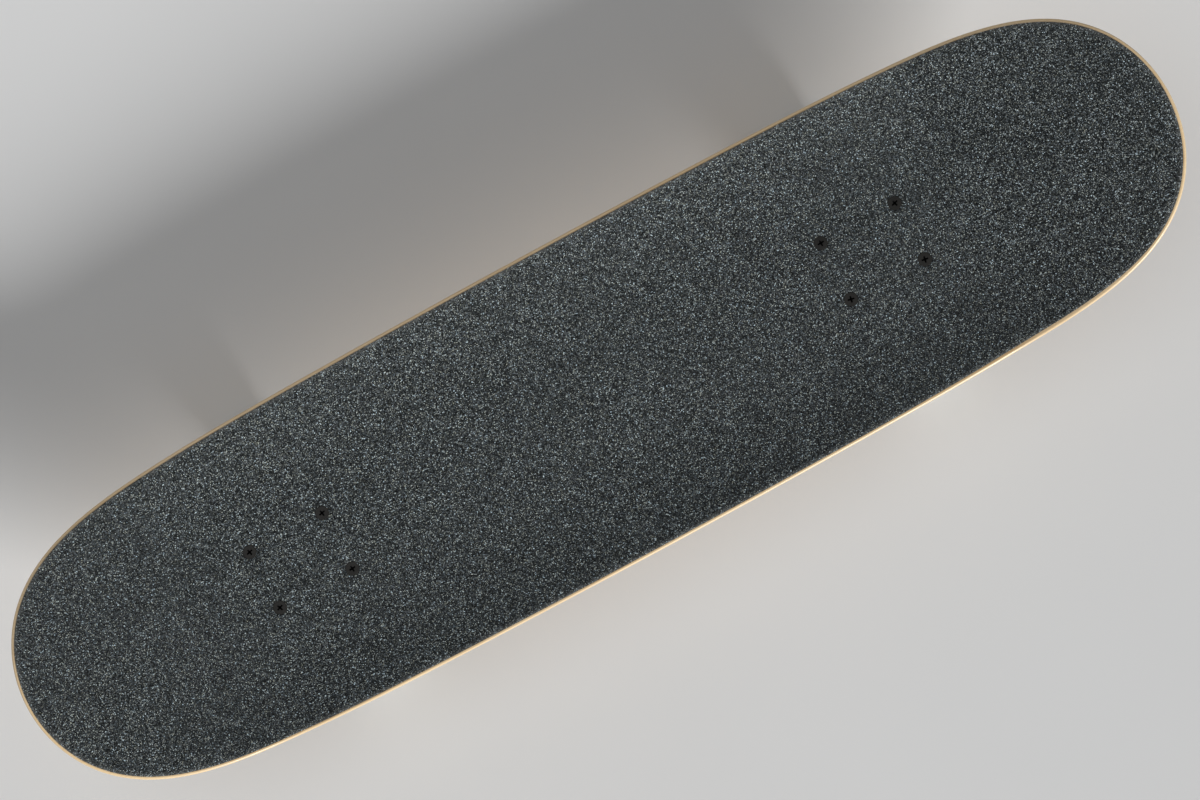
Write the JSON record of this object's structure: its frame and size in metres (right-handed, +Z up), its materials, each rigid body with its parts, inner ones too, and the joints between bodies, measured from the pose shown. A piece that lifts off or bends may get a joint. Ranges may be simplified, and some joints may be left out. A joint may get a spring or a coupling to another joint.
{
  "type": "skateboard",
  "caption": "Popsicle skateboard: griptaped maple deck with kicked nose and tail on two steering kingpin trucks and urethane wheels.",
  "frame": {"origin": "on the ground under the middle of the board's bounding box", "axes": "+X to the nose, +Y to the left of a rider facing the nose, +Z up"},
  "size_m": [0.8128, 0.2096, 0.145],
  "materials": {
    "maple": "clear lacquer over seven-ply maple",
    "grit": "black silicon carbide grit bonded to film",
    "black_steel": "black zinc-plated steel",
    "cast_aluminium": "tumbled cast aluminium",
    "plated_steel": "bright zinc-plated steel",
    "cup_urethane": "black urethane",
    "bushing_urethane": "natural urethane",
    "wheel_urethane": "off-white cast urethane",
    "bearing_steel": "ground bearing steel",
    "cage_nylon": "moulded nylon",
    "seal_rubber": "black moulded rubber seal"
  },
  "bodies": {
    "board": {"deck": "maple", "griptape": "grit", "front_deck_bolts": "black_steel", "front_deck_locknuts": "black_steel", "front_baseplate": "cast_aluminium", "front_pivot_cup": "cup_urethane", "front_kingpin": "plated_steel", "front_kingpin_nut": "plated_steel", "front_boardside_washer": "plated_steel", "front_roadside_washer": "plated_steel", "front_boardside_bushing": "bushing_urethane", "front_roadside_bushing": "bushing_urethane", "rear_deck_bolts": "black_steel", "rear_deck_locknuts": "black_steel", "rear_baseplate": "cast_aluminium", "rear_pivot_cup": "cup_urethane", "rear_kingpin": "plated_steel", "rear_kingpin_nut": "plated_steel", "rear_boardside_washer": "plated_steel", "rear_roadside_washer": "plated_steel", "rear_boardside_bushing": "bushing_urethane", "rear_roadside_bushing": "bushing_urethane"},
    "front_truck": {"front_hanger": "cast_aluminium", "front_axle": "plated_steel", "front_axle_nuts": "plated_steel", "front_speed_washers": "plated_steel", "front_left_bearing_inner_rings": "bearing_steel", "front_left_bearing_spacer": "plated_steel", "front_right_bearing_inner_rings": "bearing_steel", "front_right_bearing_spacer": "plated_steel"},
    "rear_truck": {"rear_hanger": "cast_aluminium", "rear_axle": "plated_steel", "rear_axle_nuts": "plated_steel", "rear_speed_washers": "plated_steel", "rear_left_bearing_inner_rings": "bearing_steel", "rear_left_bearing_spacer": "plated_steel", "rear_right_bearing_inner_rings": "bearing_steel", "rear_right_bearing_spacer": "plated_steel"},
    "front_left_wheel": {"front_left_wheel": "wheel_urethane", "front_left_bearing_outer_rings": "bearing_steel", "front_left_bearing_shields": "seal_rubber"},
    "front_left_rolling_set": {"front_left_bearing_balls": "bearing_steel", "front_left_bearing_cages": "cage_nylon"},
    "front_right_wheel": {"front_right_wheel": "wheel_urethane", "front_right_bearing_outer_rings": "bearing_steel", "front_right_bearing_shields": "seal_rubber"},
    "front_right_rolling_set": {"front_right_bearing_balls": "bearing_steel", "front_right_bearing_cages": "cage_nylon"},
    "rear_left_wheel": {"rear_left_wheel": "wheel_urethane", "rear_left_bearing_outer_rings": "bearing_steel", "rear_left_bearing_shields": "seal_rubber"},
    "rear_left_rolling_set": {"rear_left_bearing_balls": "bearing_steel", "rear_left_bearing_cages": "cage_nylon"},
    "rear_right_wheel": {"rear_right_wheel": "wheel_urethane", "rear_right_bearing_outer_rings": "bearing_steel", "rear_right_bearing_shields": "seal_rubber"},
    "rear_right_rolling_set": {"rear_right_bearing_balls": "bearing_steel", "rear_right_bearing_cages": "cage_nylon"}
  },
  "joints": [
    {"name": "front_truck_steer", "type": "hinge", "parent": "board", "child": "front_truck", "pos_m": [0.23314, 0, 0.0675], "axis": [0.901, 0, 0.4338], "range_deg": [-15, 15], "stiffness_Nm_per_rad": 45, "deforming": ["front_boardside_bushing", "front_roadside_bushing"]},
    {"name": "rear_truck_steer", "type": "hinge", "parent": "board", "child": "rear_truck", "pos_m": [-0.24414, 0, 0.0675], "axis": [-0.901, 0, 0.4338], "range_deg": [-15, 15], "stiffness_Nm_per_rad": 45, "deforming": ["rear_boardside_bushing", "rear_roadside_bushing"]},
    {"name": "front_left_wheel_spin", "type": "hinge", "parent": "front_truck", "child": "front_left_wheel", "pos_m": [0.20864, 0.07967, 0.026], "axis": [0, 1, 0], "continuous": true},
    {"name": "front_left_ball_roll", "type": "hinge", "parent": "front_truck", "child": "front_left_rolling_set", "pos_m": [0.20864, 0.07967, 0.026], "axis": [0, 1, 0], "continuous": true},
    {"name": "front_right_wheel_spin", "type": "hinge", "parent": "front_truck", "child": "front_right_wheel", "pos_m": [0.20864, -0.07967, 0.026], "axis": [0, 1, 0], "continuous": true},
    {"name": "front_right_ball_roll", "type": "hinge", "parent": "front_truck", "child": "front_right_rolling_set", "pos_m": [0.20864, -0.07967, 0.026], "axis": [0, 1, 0], "continuous": true},
    {"name": "rear_left_wheel_spin", "type": "hinge", "parent": "rear_truck", "child": "rear_left_wheel", "pos_m": [-0.21964, 0.07967, 0.026], "axis": [0, 1, 0], "continuous": true},
    {"name": "rear_left_ball_roll", "type": "hinge", "parent": "rear_truck", "child": "rear_left_rolling_set", "pos_m": [-0.21964, 0.07967, 0.026], "axis": [0, 1, 0], "continuous": true},
    {"name": "rear_right_wheel_spin", "type": "hinge", "parent": "rear_truck", "child": "rear_right_wheel", "pos_m": [-0.21964, -0.07967, 0.026], "axis": [0, 1, 0], "continuous": true},
    {"name": "rear_right_ball_roll", "type": "hinge", "parent": "rear_truck", "child": "rear_right_rolling_set", "pos_m": [-0.21964, -0.07967, 0.026], "axis": [0, 1, 0], "continuous": true}
  ],
  "couplings": [
    {"joint": "front_left_ball_roll", "follows": "front_left_wheel_spin", "ratio": 0.63},
    {"joint": "front_right_ball_roll", "follows": "front_right_wheel_spin", "ratio": 0.63},
    {"joint": "rear_left_ball_roll", "follows": "rear_left_wheel_spin", "ratio": 0.63},
    {"joint": "rear_right_ball_roll", "follows": "rear_right_wheel_spin", "ratio": 0.63}
  ]
}
